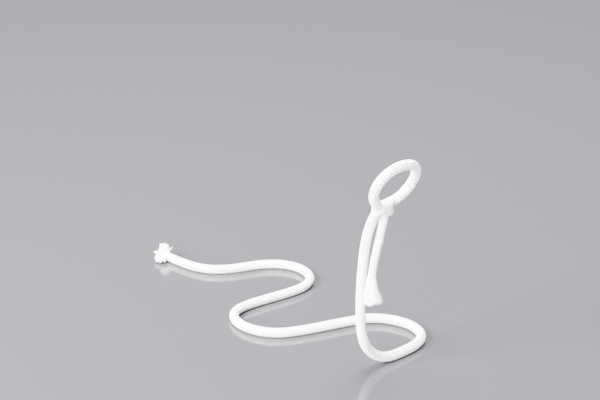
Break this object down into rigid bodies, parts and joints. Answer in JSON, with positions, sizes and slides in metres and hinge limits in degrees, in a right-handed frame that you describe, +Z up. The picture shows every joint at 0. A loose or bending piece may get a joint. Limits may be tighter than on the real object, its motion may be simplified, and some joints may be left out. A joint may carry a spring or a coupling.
{
  "type": "balancing bottle holder",
  "caption": "Balancing bottle holder: stiff braided rope that waves over the table, rises and ends in a knotted noose for a bottle's neck.",
  "frame": {"origin": "on the table, under the middle of the box of the holder without its hanging end", "axes": "+X to the right as pictured, +Y away from the viewer, +Z up"},
  "size_m": [0.2513, 0.2513, 0.1862],
  "materials": {
    "braid": "matte",
    "strands": "matte"
  },
  "bodies": {
    "root": {"stiff_rope": "braid", "ring_knot": "braid", "hanging_tail": "braid", "tail_fray": "strands", "base_fray": "strands"}
  },
  "joints": []
}
